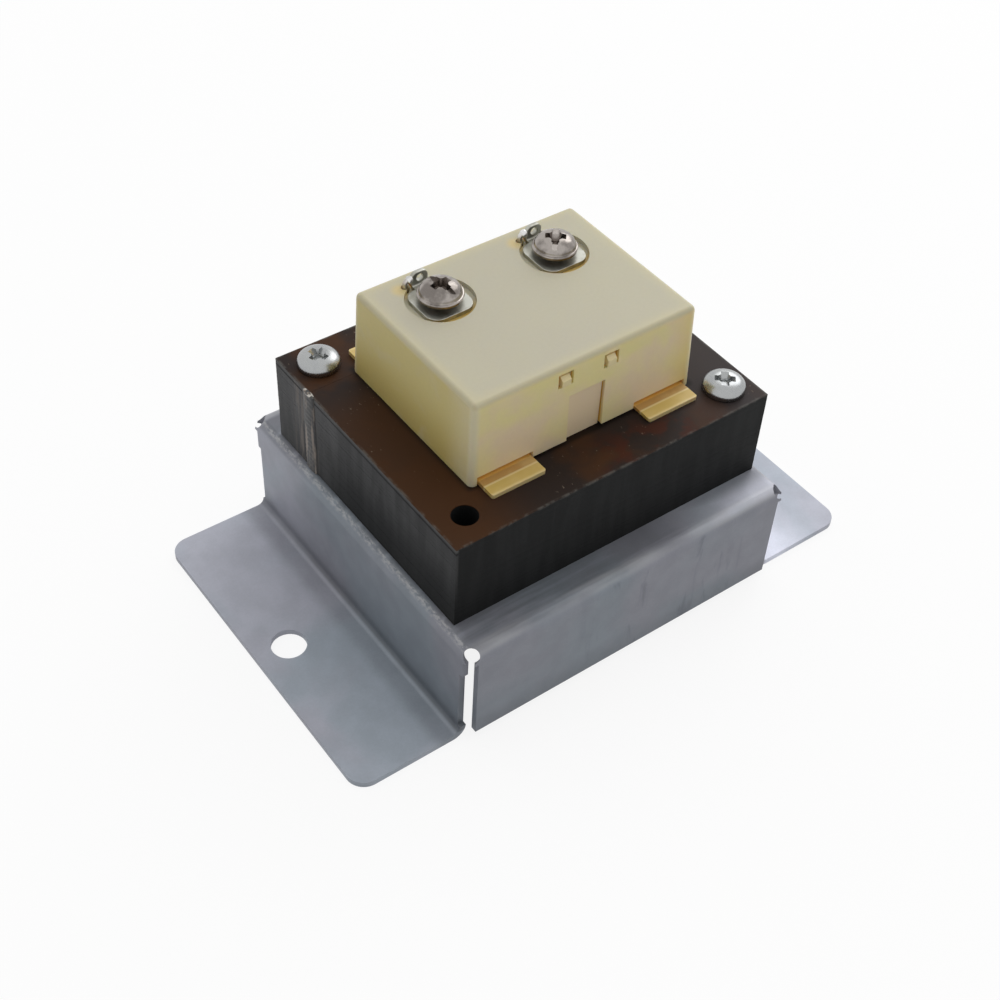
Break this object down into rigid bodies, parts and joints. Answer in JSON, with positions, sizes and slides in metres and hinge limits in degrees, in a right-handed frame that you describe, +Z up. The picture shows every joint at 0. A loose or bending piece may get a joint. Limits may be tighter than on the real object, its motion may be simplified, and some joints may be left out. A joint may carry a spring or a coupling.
{
  "type": "low voltage transformer",
  "caption": "Open-frame low voltage transformer: a laminated core on a folded steel mounting plate, with a moulded coil cover and screw terminals.",
  "frame": {"origin": "on the floor below the middle of the platform, at the bottom of the wings", "axes": "+X from the left wing to the right wing, +Y towards the back (the terminals' side), +Z up"},
  "size_m": [0.1124, 0.0704, 0.0617],
  "materials": {
    "galvanised_sheet": "matte hot-dipped zinc, scuffed",
    "varnished_core": "baked dark varnish over silicon steel",
    "weld_metal": "weld run under thin varnish",
    "ochre_plastic": "moulded natural nylon, aged",
    "ivory_plastic": "moulded natural nylon, translucent",
    "enamelled_copper": "enamelled magnet wire",
    "polyester_tape": "polyester film tape",
    "tinned_terminal": "tinned steel",
    "nickel_screw": "bright nickel plate",
    "zinc_screw": "bright zinc plate",
    "zinc_fastener": "zinc plate",
    "tinned_wire": "tinned copper",
    "solder": "bright solder"
  },
  "bodies": {
    "root": {"mounting_plate": "galvanised_sheet", "e_lamination_stack": "varnished_core", "i_lamination_stack": "varnished_core", "core_weld_left": "weld_metal", "core_weld_right": "weld_metal", "coil_bobbin": "ochre_plastic", "primary_winding": "enamelled_copper", "secondary_winding": "enamelled_copper", "barrier_tape": "polyester_tape", "outer_coil_wrap": "polyester_tape", "terminal_cover": "ivory_plastic", "lower_coil_cover": "ivory_plastic", "terminal_plate_left": "tinned_terminal", "terminal_screw_left": "nickel_screw", "terminal_nut_left": "zinc_fastener", "secondary_lead_left": "tinned_wire", "solder_joint_left": "solder", "core_screw_left": "zinc_screw", "lock_washer_left": "zinc_fastener", "core_nut_left": "zinc_fastener", "terminal_plate_right": "tinned_terminal", "terminal_screw_right": "nickel_screw", "terminal_nut_right": "zinc_fastener", "secondary_lead_right": "tinned_wire", "solder_joint_right": "solder", "core_screw_right": "zinc_screw", "lock_washer_right": "zinc_fastener", "core_nut_right": "zinc_fastener"}
  },
  "joints": []
}
